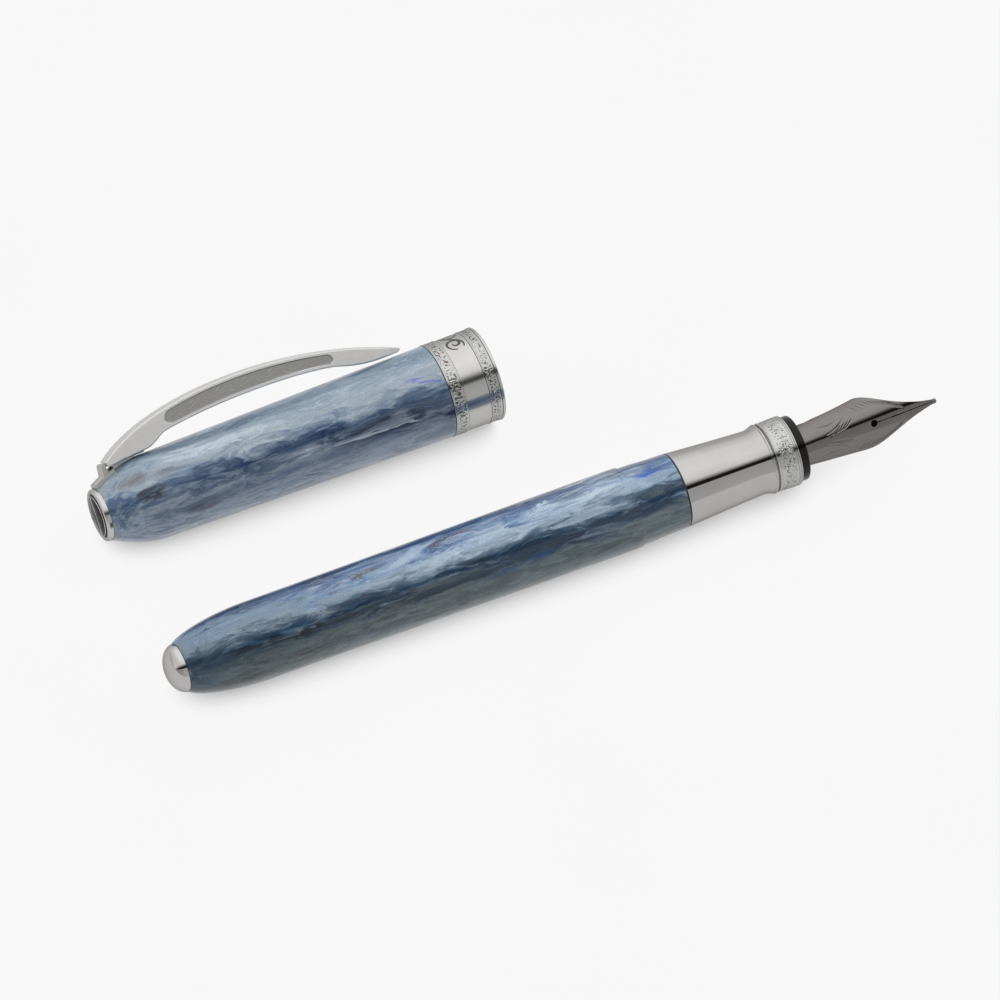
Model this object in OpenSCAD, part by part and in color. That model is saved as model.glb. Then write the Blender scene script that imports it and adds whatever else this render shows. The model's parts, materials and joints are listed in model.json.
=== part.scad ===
// Fountain pen, uncapped, with its cap lying beside it.
// The pen lies along +X with the nib at +X, the cap lies at +Y, and z = 0 is the
// surface that both rest on. Each piece is drawn about its own axis, +X, and then laid down.

/* [Barrel] */
// Height of the metal dome at the tail
dome_h = 2.5; // [2.3:0.1:2.8]
// Radius of the dome where it meets the barrel
dome_r = 3.8; // [3.6:0.1:4]
// Radius where the rounded tail end runs into the long taper
tail_r = 6.12; // [6.1:0.02:6.2]
// Largest radius, at the shoulder where the cap stops
barrel_r = 6.34; // [6.3:0.02:6.4]
// Distance from the tail to the cap's stop
stop_s = 76.1; // [76:0.1:76.5]
// Distance from the tail to the joint between barrel and grip
joint_s = 83.9; // [83.8:0.1:84.2]
// Radius just in front of the step that stops the cap
shoulder_r = 6.08; // [6.05:0.01:6.1]

/* [Grip] */
// Radius of the grip at the joint
grip_back_r = 5.83; // [5.8:0.01:5.85]
// Radius of the grip at its waist
grip_waist_r = 5.05; // [5:0.05:5.2]
// Radius of the bead at the front of the grip
bead_r = 5.48; // [5.45:0.01:5.5]
// Distance from the tail to the front of the grip's bead
trim_s = 99.1; // [99:0.1:99.3]
// Length of the textured ring
trim_len = 3.7; // [3.6:0.1:3.8]
// Length of the black ring in front of it
ring_len = 1.4; // [1.3:0.1:1.5]

/* [Nib] */
// Length of nib in front of the black ring
nib_len = 22.6; // [22.4:0.1:22.8]
// Largest half width of the nib
nib_half_w = 4.12; // [4:0.02:4.2]
// Thickness of the nib's sheet
nib_t = 0.35; // [0.3:0.01:0.4]

/* [Cap] */
// Length from the cap's closed end to its mouth
cap_len = 63.8; // [63.7:0.1:64.2]
// Length of the metal band at the mouth
band_len = 8.2; // [8.1:0.1:8.4]
// Radius of the shell at the band
shell_mouth_r = 7.26; // [7.2:0.01:7.3]
// Radius of the shell at its rounded shoulder
shell_shoulder_r = 6.62; // [6.55:0.01:6.7]
// Radius of the cap's lip
lip_r = 7.4; // [7.35:0.01:7.45]
// Radius of the bore in the mouth
mouth_r = 6.2; // [6.18:0.01:6.25]

/* [Clip] */
// Width of the clip across its blade
clip_w = 3.4; // [3.2:0.1:3.8]
// Height of the clip's arch above the cap's axis
clip_peak = 15.9; // [15.7:0.1:16.1]

/* [Arrangement] */
// How far the cap's mouth is in front of the pen's tail
cap_mouth_x = 67.5; // [66:0.1:70]
// How far the cap's mouth is to the side of the pen
cap_mouth_y = 32.2; // [30:0.1:36]
// Angle between cap and pen, seen from above
cap_yaw = 0.4; // [-3:0.1:3]
// Roll of the cap, which sets where its clip points
cap_roll = -46.9; // [-60:0.1:-30]
// Roll of the nib towards the viewer's side
nib_roll = 50; // [40:1:60]

/* [Hidden] */
$fn = 96;

// Running fit between pieces that turn or slide in each other
fit = 0.06;
// Gap between pieces that are pressed or screwed together
seat = 0.02;

// Stations along the pen, from the tail
round_s = 15.3;
grip_s = joint_s + 0.25;
ring_s = trim_s + trim_len;
nib_s = ring_s + ring_len;
tip_s = nib_s + nib_len;

// Radii inside the pen
cavity_r = 4.9;
insert_r = 5.2;
thread_r = 4.45;
socket_r = 3.3;
shell_bore = 6.36;
liner_bore = 5.95;
chamber_r = 4.4;
housing_r = 3.7;
tube_r = 3.6;
tube_bore = 3.0;
rod_r = 1.2;
nipple_r = 1.9;

// Stations along the converter, from the tail
knob_s = 27;
knob_end_s = 40;
band_end_s = 54;
mouth_s = 82;
mouth_end_s = 91.4;
nipple_s = 86;
housing_s = 92;

// Stations along the cap, from its closed end
shoulder_u = 8.5;
band_u = cap_len - band_len;
ring_rear_u = band_u + 2.1;
ring_front_u = ring_rear_u + 3.8;
lip_u = ring_front_u + 1.8;
liner_u = 14;
step_u = 32;
chamber_u = 33;
head_u = 3.6;
pin_u = 6;
pin_z = 8.1;
slot_half = 0.85;

// Outside radius of the barrel: a rounded end, then a gentle swell towards the step
function barrel_at(s) = s < round_s
    ? dome_r + (tail_r - dome_r) * pow(1 - pow((round_s - s) / (round_s - dome_h), 2), 0.7)
    : tail_r + (barrel_r - tail_r) * (1 - cos(180 * (s - round_s) / (stop_s - round_s))) / 2;

// The barrel touches the surface near both ends of its swell, which tilts the pen
contact_a = 18;
contact_b = 67;
pen_tilt = atan((barrel_at(contact_b) - barrel_at(contact_a)) / (contact_b - contact_a));
pen_z = barrel_at(contact_a) / cos(pen_tilt) - contact_a * tan(pen_tilt);

// The cap's lower line runs from its shoulder to its lip
cap_tilt = atan((lip_r - shell_shoulder_r) / (lip_u - shoulder_u));
cap_z = shell_shoulder_r / cos(cap_tilt) - shoulder_u * tan(cap_tilt);

// The origin is under the middle of the whole arrangement
mid_x = (tip_s + 0.05) / 2;
mid_y = 18.05;

module pen_pose()
    translate([-mid_x, -mid_y, pen_z]) rotate([0, -pen_tilt, 0]) children();

module cap_pose()
    translate([
        cap_mouth_x - cap_len * cos(cap_yaw) - mid_x,
        cap_mouth_y - cap_len * sin(cap_yaw) - mid_y,
        cap_z
    ]) rotate([0, 0, cap_yaw]) rotate([0, -cap_tilt, 0]) rotate([cap_roll, 0, 0]) children();

// A turned piece: points are [radius, station along +X]
module turned(points) rotate([0, 90, 0]) rotate_extrude() polygon(points);

// A plain tube between two stations
module tube(a, b, outer, inner)
    turned([[inner, a], [outer, a], [outer, b], [inner, b]]);

// A plate that lies in the XZ plane, w wide across Y
module plate(w, points) rotate([90, 0, 0]) linear_extrude(w, center = true) polygon(points);

// A cubic curve through four control points
function curve(p, n) = [for (i = [0:n]) let (t = i / n)
    pow(1 - t, 3) * p[0] + 3 * t * pow(1 - t, 2) * p[1] + 3 * t * t * (1 - t) * p[2] + pow(t, 3) * p[3]];

// Thread crests between two stations: flat-topped rings, radii lo and hi
function crests(a, b, lo, hi, pitch = 0.8) = [for (i = [0:floor((b - a) / pitch) - 1])
    each let (s = a + i * pitch) [[lo, s], [hi, s + 0.2], [hi, s + 0.45], [lo, s + 0.65]]];

/* Grip and what is fixed in it */

module grip_section() color("#6f6f72") pen_pose() {
    waist_s = trim_s - 2.2;
    turned(concat(
        [[4.42, grip_s], [grip_back_r - 0.1, grip_s], [grip_back_r, grip_s + 0.15]],
        [for (i = [1:8]) let (t = i / 8)
            [grip_waist_r + (grip_back_r - grip_waist_r) * pow(1 - t, 1.15), grip_s + (waist_s - grip_s) * t]],
        [for (i = [1:6]) let (t = i / 6)
            [grip_waist_r + (bead_r - 0.1 - grip_waist_r) * t * t, waist_s + (trim_s - 0.95 - waist_s) * t]],
        [for (i = [0:6]) let (a = 180 - 180 * i / 6)
            [bead_r - 0.1 + 0.1 * sin(a), trim_s - 0.45 + 0.45 * cos(a)]],
        [[4.03, trim_s], [4.03, ring_s - seat], [housing_r + 0.05, ring_s - seat],
            [housing_r + 0.05, 93.2], [4.42, 93.2]]
    ));
}

module section_connector() color("#1d1d1f") pen_pose()
    turned(concat(
        [[3.9, 75.4], [thread_r - 0.3, 75.4]],
        crests(75.8, 83.6, thread_r - 0.3, thread_r - fit - 0.02),
        [[thread_r - 0.3, joint_s - 0.3], [4.4, joint_s - 0.3], [4.4, 93 - seat], [3.9, 93 - seat]]
    ));

module joint_washer() color("#3a2b1d") pen_pose()
    tube(joint_s + seat, grip_s - seat, grip_back_r - 0.02, 4.42);

module nib_housing() color("#151517") pen_pose()
    turned([
        [0.8, nipple_s], [nipple_r - 0.3, nipple_s], [nipple_r, nipple_s + 0.5], [nipple_r, housing_s],
        [3.86, housing_s], [3.86, 93.2 - seat], [housing_r, 93.2], [housing_r, nib_s - 0.2],
        [socket_r, nib_s - 0.2], [socket_r, 96], [0.8, 96]
    ]);

module grip_trim_ring() color("#b9b9b6") pen_pose()
    turned([
        [4.92, trim_s + seat], [5.35, trim_s + seat], [5.45, trim_s + 0.3], [5.35, trim_s + 0.5],
        [5.5, ring_s - 0.6], [5.42, ring_s - 0.35], [5.5, ring_s - 0.15], [5.42, ring_s],
        [4.92, ring_s]
    ]);

module closure_magnet() color("#8d8f92") pen_pose()
    tube(trim_s + 0.1, ring_s - 0.1, 4.88, 4.06);

module closure_ring() color("#0e0e10") pen_pose()
    turned(concat(
        [[housing_r + 0.05, ring_s + seat], [5.0, ring_s + seat], [5.12, ring_s + 0.15]],
        [for (i = [0:5]) let (a = 90 * i / 5)
            [4.82 + 0.3 * cos(a), nib_s - 0.3 + 0.3 * sin(a)]],
        [[housing_r + 0.05, nib_s]]
    ));

/* Nib and feed, which pull out of the housing together */

// The nib is cut from a cone whose axis droops, so its shoulders are flatter than its shank
nib_droop = 9.5;
nib_growth = 0.106;
nib_cone_r = socket_r - fit - 0.05;

module nib_cone(inset, back = 4, ahead = 26)
    translate([nib_s, 0, 0]) rotate([0, 90 + nib_droop, 0]) translate([0, 0, -back])
        cylinder(
            h = back + ahead,
            r1 = nib_cone_r - inset - back * nib_growth,
            r2 = nib_cone_r - inset + ahead * nib_growth
        );

// Half of the nib's outline: [station in front of the black ring, half width]
nib_side = concat(
    [[0, socket_r - fit]],
    curve([[0.01, 3.3], [4, 3.45], [8, 3.85], [10.4, nib_half_w]], 6),
    curve([[10.6, nib_half_w], [13.2, nib_half_w + 0.1], [15.4, 1.5], [nib_len - 0.6, 0.34]], 12)
);
nib_tip_z = 1.75;
breather_s = 12;

module nib_outline() {
    flip = [for (i = [len(nib_side) - 1:-1:0]) [nib_side[i][0], -nib_side[i][1]]];
    polygon(concat(nib_side, flip));
}

module nib() color("#57575a") pen_pose() rotate([nib_roll, 0, 0]) difference() {
    union() {
        intersection() {
            translate([nib_s, 0, -6]) linear_extrude(12) nib_outline();
            difference() {
                nib_cone(0);
                nib_cone(nib_t);
            }
            translate([nib_s, -6, -0.6]) cube([nib_len, 12, 8]);
        }
        difference() {
            translate([97, 0, 0]) rotate([0, 90, 0]) cylinder(h = nib_s - 97, r = socket_r - fit);
            translate([96, 0, 0]) rotate([0, 90, 0]) cylinder(h = nib_s - 95, r = socket_r - fit - nib_t);
            translate([96, -6, -8]) cube([10, 12, 8 - 0.4]);
        }
    }
    // Breather hole, and the slit from it to the tip
    translate([nib_s + breather_s, 0, 0]) cylinder(h = 6, r = 0.5);
    translate([nib_s + breather_s, -0.05, -3]) cube([nib_len - breather_s - 0.8, 0.1, 8]);
}

module nib_tipping() color("#8a8a8c") pen_pose() rotate([nib_roll, 0, 0])
    translate([tip_s - 0.4, 0, nib_tip_z]) sphere(r = 0.4);

module feed() color("#121214") pen_pose() rotate([nib_roll, 0, 0]) difference() {
    union() {
        difference() {
            translate([96.4, 0, 0]) rotate([0, 90, 0]) cylinder(h = nib_s - 96.4, r = socket_r - fit);
            difference() {
                translate([96, 0, 0]) rotate([0, 90, 0]) cylinder(h = 20, r = 5);
                translate([95, 0, 0]) rotate([0, 90, 0]) cylinder(h = 22, r = socket_r - fit - nib_t - seat);
                translate([95, -6, -8.5]) cube([22, 12, 8]);
            }
        }
        intersection() {
            turned([[0, nib_s], [2.85, nib_s], [2.75, nib_s + 7], [1.7, nib_s + 13], [0.5, nib_s + 17.5], [0, nib_s + 17.5]]);
            nib_cone(nib_t + seat);
        }
    }
    // Ink channel, and the fins on the underside
    translate([95, -0.3, 1.2]) cube([22, 0.6, 3]);
    for (i = [0:9]) translate([nib_s + 1.6 + i * 1.05, 0, 0]) difference() {
        translate([0, -4, -4]) cube([0.45, 8, 3.4]);
        rotate([0, 90, 0]) translate([0, 0, -1]) cylinder(h = 3, r = 1.3);
    }
}

/* Converter, which plugs onto the housing's nipple */

module converter_mouth() color("#2a2a2c") pen_pose()
    turned([
        [nipple_r + fit - 0.01, nipple_s], [nipple_r + fit - 0.01, mouth_end_s], [3.3, mouth_end_s],
        [3.4, mouth_end_s - 0.3], [3.4, mouth_s + 4], [2.98, mouth_s + 4], [2.98, mouth_s + 3.2],
        [1.2, mouth_s + 3.2], [1.2, nipple_s]
    ]);

module converter_tube() color("#c9d4da", 0.45) pen_pose()
    tube(band_end_s - 4, mouth_s + 4 - seat, tube_r, tube_bore);

module converter_band() color("#c9c9c7") pen_pose()
    turned([
        [rod_r + fit, knob_end_s + 0.1], [2.6, knob_end_s + 0.1], [2.6, knob_end_s + 1],
        [3.8, knob_end_s + 1], [3.8, band_end_s], [tube_r + seat, band_end_s],
        [tube_r + seat, band_end_s - 4 - seat], [rod_r + fit, band_end_s - 4 - seat]
    ]);

module converter_knob() color("#1b1b1d") pen_pose() difference() {
    turned([
        [0, knob_s], [3.2, knob_s], [3.6, knob_s + 0.4], [3.6, knob_end_s - 0.4], [3.3, knob_end_s],
        [rod_r + fit, knob_end_s], [rod_r + fit, knob_s + 2], [0, knob_s + 2]
    ]);
    // Grooves for the fingers
    for (a = [0:20:340]) rotate([a, 0, 0]) translate([knob_s + 1.5, -0.2, 3.35])
        cube([knob_end_s - knob_s - 3, 0.4, 1]);
}

module piston_rod() color("#b4b6b8") pen_pose()
    turned([[0, 52], [rod_r, 52], [rod_r, 80.6], [2.4, 80.6], [2.4, 81.2 - seat], [0, 81.2 - seat]]);

module piston_seal() color("#d8d8d4") pen_pose()
    turned([
        [0, 81.2], [tube_bore - fit, 81.2], [tube_bore - fit, 81.8], [2.6, 82.2], [2.6, 83],
        [tube_bore - fit, 83.4], [tube_bore - fit, 84], [2.2, 84.6], [0, 84.6]
    ]);

/* Barrel, and the threaded insert it turns on */

module barrel_insert() color("#3b3b3d") pen_pose()
    turned(concat(
        [[insert_r - fit, joint_s - 0.1], [insert_r - fit, 74.3], [thread_r + 0.25, 74.3]],
        crests(75, 83.4, thread_r + 0.25, thread_r),
        [[thread_r + 0.25, joint_s - 0.1]]
    ));

module barrel() color("#7c93a8") pen_pose() {
    end_steps = 10;
    body_steps = 12;
    turned(concat(
        [[1.3, dome_h + seat]],
        [for (i = [0:end_steps]) let (s = dome_h + seat + (round_s - dome_h - seat) * (1 - cos(90 * i / end_steps)))
            [barrel_at(s), s]],
        [for (i = [1:body_steps]) let (s = round_s + (stop_s - round_s) * i / body_steps) [barrel_at(s), s]],
        [[shoulder_r + 0.02, stop_s + 0.25], [shoulder_r, stop_s + 2],
            [grip_back_r + 0.07, stop_s + 4.5], [grip_back_r + 0.03, joint_s - 0.1],
            [grip_back_r - 0.05, joint_s], [insert_r, joint_s], [insert_r, 74], [cavity_r, 74],
            [cavity_r, 17], [3.4, 13], [1.3, 13]]
    ));
}

module tail_dome() color("#c4c4c4") pen_pose() difference() {
    turned(concat(
        [for (i = [0:9]) let (a = 90 * i / 9) [dome_r * sin(a), dome_h * (1 - cos(a))]],
        [[1.25, dome_h], [1.25, 6], [0, 6]]
    ));
    translate([1.6, 0, 0]) rotate([0, 90, 0]) cylinder(h = 6, r = 0.82);
}

module tail_screw() color("#9a9a9c") pen_pose() difference() {
    turned([[0, 2], [0.8, 2], [0.8, 6.2], [1.2, 6.2], [1.2, 13 + seat], [2.4, 13 + seat], [2.4, 14.4], [0, 14.4]]);
    translate([13.8, -0.3, -3]) cube([2, 0.6, 6]);
}

/* Cap */

// Outside radius of the shell at distance u from the closed end
function shell_at(u) = u < shoulder_u
    ? 4.05 + (shell_shoulder_r - 4.05) * sin(90 * u / shoulder_u)
    : shell_shoulder_r + (shell_mouth_r - shell_shoulder_r) * (u - shoulder_u) / (band_u - shoulder_u);

module cap_shell() color("#93a4ba") cap_pose()
    turned(concat(
        [[3.85, 0.3]],
        [for (i = [0:8]) let (u = 0.3 + (shoulder_u - 0.3) * i / 8) [shell_at(u), u]],
        [[shell_at(band_u), band_u], [shell_bore, band_u], [shell_bore, step_u], [5.2, step_u],
            [5.2, liner_u], [1.6, liner_u], [1.6, head_u], [3.85, head_u]]
    ));

module cap_sleeve() color("#c2c2bf") cap_pose()
    turned([
        [mouth_r + 0.15, band_u + seat], [6.9, band_u + seat], [6.9, lip_u], [lip_r - 0.1, lip_u],
        [lip_r, lip_u + 0.15], [lip_r, cap_len - 0.3], [lip_r - 0.25, cap_len], [mouth_r + 0.15, cap_len],
        [mouth_r, cap_len - 0.15], [mouth_r, band_u + seat + 0.15]
    ]);

module band_ring_rear() color("#a9a9a6") cap_pose() tube(band_u + seat, ring_rear_u, 7.28, 6.9 + seat);

module band_centre() color("#cfcfcc") cap_pose() tube(ring_rear_u + seat, ring_front_u - seat, 7.24, 6.9 + seat);

module band_ring_front() color("#a9a9a6") cap_pose() tube(ring_front_u, lip_u - seat, 7.3, 6.9 + seat);

// The liner stops short of the sleeve
module cap_liner() color("#26272a") cap_pose()
    turned([
        [1.6, liner_u + seat], [5.14, liner_u + seat], [5.14, step_u + seat],
        [shell_bore - fit, step_u + seat], [shell_bore - fit, band_u - 0.3], [liner_bore, band_u - 0.3],
        [liner_bore, chamber_u], [chamber_r, chamber_u], [chamber_r, liner_u + 2], [1.6, liner_u + 2]
    ]);

module cap_magnet() color("#8d8f92") cap_pose() tube(chamber_u + seat, 35.6, liner_bore - 0.05, chamber_r);

module cap_end_ring() color("#bdbdba") cap_pose()
    turned([
        [3.4, -0.45], [3.6, -0.6], [3.95, -0.55], [4.12, -0.3], [4.12, 0.3 - seat], [3.82, 0.3 - seat],
        [3.82, head_u - seat], [3.4, head_u - seat]
    ]);

module cap_head_screw() color("#77797c") cap_pose() difference() {
    turned([
        [0, 2.7], [3.3, 2.7], [3.3, head_u - seat], [1.56, head_u - seat], [1.56, liner_u + 1.9],
        [0, liner_u + 1.9]
    ]);
    translate([2.2, -0.35, -3]) cube([0.9, 0.7, 6]);
}

/* Clip, which swings on a pin through its bracket */

// The bracket runs from the end ring over the shoulder, and ends in a lug under the clip
module clip_bracket() color("#b3b3b0") cap_pose() difference() {
    union() {
        difference() {
            intersection() {
                turned(concat(
                    [for (i = [0:6]) let (u = 0.32 + 3.5 * i / 6) [shell_at(u) + 0.65, u]],
                    [for (i = [6:-1:0]) let (u = 0.32 + 3.5 * i / 6) [shell_at(u) + 0.04, u]]
                ));
                translate([0, -1.6, 0]) cube([10, 3.2, 10]);
            }
        }
        // Upright end wall behind the clip's root
        plate(3.2, [[1.9, shell_at(1.9) + 0.2], [2.1, 6.9], [2.35, 7.15], [2.7, 7.15], [2.7, shell_at(2.7) + 0.3]]);
        plate(1.6, [[3.8, shell_at(3.8) + 0.05], [3.8, 6.55], [4.9, 8.3], [5.4, 8.8], [6.6, 8.8], [7.2, 8.3],
            [7.6, 7.4], [7.6, shell_at(7.6) + 0.05], [5.6, shell_at(5.6) + 0.05]]);
    }
    translate([pin_u, 0, pin_z]) rotate([90, 0, 0]) cylinder(h = 4, r = 0.42, center = true);
}

module clip_pin() color("#8f9092") cap_pose()
    translate([pin_u, 0, pin_z]) rotate([90, 0, 0]) cylinder(h = clip_w - 0.2, r = 0.4, center = true);

module clip_spring() color("#77797c") cap_pose()
    plate(1.2, [[7.75, 6.72], [9.2, 6.78], [10.1, 7.5], [9.9, 7.55], [9.1, 7.0], [7.75, 6.95]]);

// Side view of the clip: the arch outside, and the hollow under it
module clip_side() polygon(concat(
    curve([[2.9, 7.4], [11, clip_peak - 1.9], [34, clip_peak], [52.2, 8.2]], 24),
    [[52.3, 7.9], [51.8, 7.62], [49.2, 7.58], [46, 7.7], [44, 8.1]],
    curve([[41.5, 8.9], [34, 10.3], [20, 10.1], [11.6, 8.4]], 12),
    [[10.9, 7.7], [10.6, 7.12], [8.6, 7.02], [5.4, 6.75], [4.0, 6.5], [3.4, 6.4], [2.9, 6.6]]
));

module clip() color("#b5b5b2") cap_pose() difference() {
    rotate([90, 0, 0]) linear_extrude(clip_w, center = true) clip_side();
    // The blade thins out on both flanks towards its tip
    for (side = [-1, 1]) translate([12, side * (clip_w / 2 + 1), 0]) rotate([0, 0, -side * 0.9])
        translate([0, -1, 0]) cube([50, 2, 20]);
    // Slot that the bracket's lug stands in
    plate(2 * slot_half, [[2, 5], [2, 7.3], [4.4, 9.3], [7.4, 9.3], [10.3, 8.2], [10.3, 5]]);
    translate([pin_u, 0, pin_z]) rotate([90, 0, 0]) cylinder(h = 6, r = 0.45, center = true);
}

/* Disc in the cap's closed end, held by a magnet */

module end_disc() color("#2b2b2d") cap_pose()
    turned(concat(
        [for (i = [0:6]) let (a = 90 * i / 6) [3.34 * sin(a), -0.5 - 0.6 * cos(a)]],
        [[3.34, 1], [0, 1]]
    ));

module end_disc_magnet() color("#8d8f92") cap_pose()
    turned([[0, 1 + seat], [2.4, 1 + seat], [2.4, 2.6], [0, 2.6]]);

grip_section();
section_connector();
joint_washer();
nib_housing();
grip_trim_ring();
closure_magnet();
closure_ring();
nib();
nib_tipping();
feed();
converter_mouth();
converter_tube();
converter_band();
converter_knob();
piston_rod();
piston_seal();
barrel_insert();
barrel();
tail_dome();
tail_screw();
cap_shell();
cap_sleeve();
band_ring_rear();
band_centre();
band_ring_front();
cap_liner();
cap_magnet();
cap_end_ring();
cap_head_screw();
clip_bracket();
clip_pin();
clip_spring();
clip();
end_disc();
end_disc_magnet();
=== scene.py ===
"""Looks for the fountain pen and its cap: smooth turned shells in swirled resin, polished and
textured metal, an engraved nib and a satin clip, on a plain pale floor."""

import json
import math

import bpy
import numpy as np
from mathutils import Matrix, Vector, noise


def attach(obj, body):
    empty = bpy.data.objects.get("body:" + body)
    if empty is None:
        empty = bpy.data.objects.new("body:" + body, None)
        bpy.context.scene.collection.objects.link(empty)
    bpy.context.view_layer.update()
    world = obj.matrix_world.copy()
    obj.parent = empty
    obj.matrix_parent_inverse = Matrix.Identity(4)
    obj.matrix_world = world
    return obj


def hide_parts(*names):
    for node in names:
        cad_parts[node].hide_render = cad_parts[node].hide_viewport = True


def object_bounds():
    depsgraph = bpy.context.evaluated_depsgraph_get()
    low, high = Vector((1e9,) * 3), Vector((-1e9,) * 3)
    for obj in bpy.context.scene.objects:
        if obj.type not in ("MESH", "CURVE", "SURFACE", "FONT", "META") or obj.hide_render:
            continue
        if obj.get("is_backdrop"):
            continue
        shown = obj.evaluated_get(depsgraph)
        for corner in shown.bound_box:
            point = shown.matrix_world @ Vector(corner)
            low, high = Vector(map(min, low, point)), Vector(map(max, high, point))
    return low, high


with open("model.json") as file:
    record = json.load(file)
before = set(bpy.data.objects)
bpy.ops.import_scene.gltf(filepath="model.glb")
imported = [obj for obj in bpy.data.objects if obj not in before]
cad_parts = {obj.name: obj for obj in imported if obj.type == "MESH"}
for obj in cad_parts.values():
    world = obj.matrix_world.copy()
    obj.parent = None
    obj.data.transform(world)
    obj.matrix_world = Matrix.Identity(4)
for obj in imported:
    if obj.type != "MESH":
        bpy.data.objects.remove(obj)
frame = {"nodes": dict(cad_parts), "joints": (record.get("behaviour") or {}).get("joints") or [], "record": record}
cad_low, cad_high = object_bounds()

MM = 0.001

# ---------------------------------------------------------------- local frames
joints = {j["name"]: j for j in frame["joints"]}


def local_frame(origin, along, side):
    """A matrix whose x axis runs along a piece, with z = x cross y."""
    up = along.cross(side)
    m = Matrix((along, side, up)).transposed().to_4x4()
    m.translation = origin
    return m


# Where each joint's own point lies in its piece's frame
TURN_STATION = 60 * MM
PIN_U, PIN_Z = 6 * MM, 8.1 * MM

pen_axis = -Vector(joints["barrel_draw"]["axis"]).normalized()
pen = local_frame(
    Vector(joints["barrel_turn"]["pos_m"]) - TURN_STATION * pen_axis,
    pen_axis,
    Vector((0, 1, 0)),
)

cap_axis = -Vector(joints["end_disc_pull"]["axis"]).normalized()
cap_side = -Vector(joints["clip_lift"]["axis"]).normalized()
cap = local_frame(
    Vector(joints["clip_lift"]["pos_m"]) - PIN_U * cap_axis - PIN_Z * cap_axis.cross(cap_side),
    cap_axis,
    cap_side,
)

NIB_ROLL = math.radians(50)
nib_frame = pen @ Matrix.Rotation(NIB_ROLL, 4, "X")

# ---------------------------------------------------------------- camera
CAM_AZIMUTH, CAM_ELEVATION = math.radians(-24.793), math.radians(50)
CAM_DISTANCE = 3.0
CAM_LENS, CAM_SENSOR = 717.6, 36
# What the camera aims at: a height over the floor, then steps left and down as it sees them
AIM_HEIGHT, AIM_LEFT, AIM_DOWN = 7 * MM, 0.099 * MM, 7.73 * MM
az, el = CAM_AZIMUTH, CAM_ELEVATION
cam_right = Vector((math.cos(az), math.sin(az), 0))
cam_back = Vector((math.sin(az) * math.cos(el), -math.cos(az) * math.cos(el), math.sin(el)))
cam_up = cam_back.cross(cam_right)
cam_aim = Vector((0, 0, AIM_HEIGHT)) - AIM_LEFT * cam_right - AIM_DOWN * cam_up
camera = bpy.data.objects.new("camera", bpy.data.cameras.new("camera"))
bpy.context.scene.collection.objects.link(camera)
camera.data.lens = CAM_LENS
camera.data.sensor_width = CAM_SENSOR
camera.data.clip_start, camera.data.clip_end = 0.1, 200
camera.rotation_mode = "QUATERNION"
camera.rotation_quaternion = Matrix((cam_right, cam_up, cam_back)).transposed().to_quaternion()
camera.location = cam_aim + CAM_DISTANCE * cam_back
bpy.context.scene.camera = camera
bpy.context.scene.view_settings.view_transform = "Standard"


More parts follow.
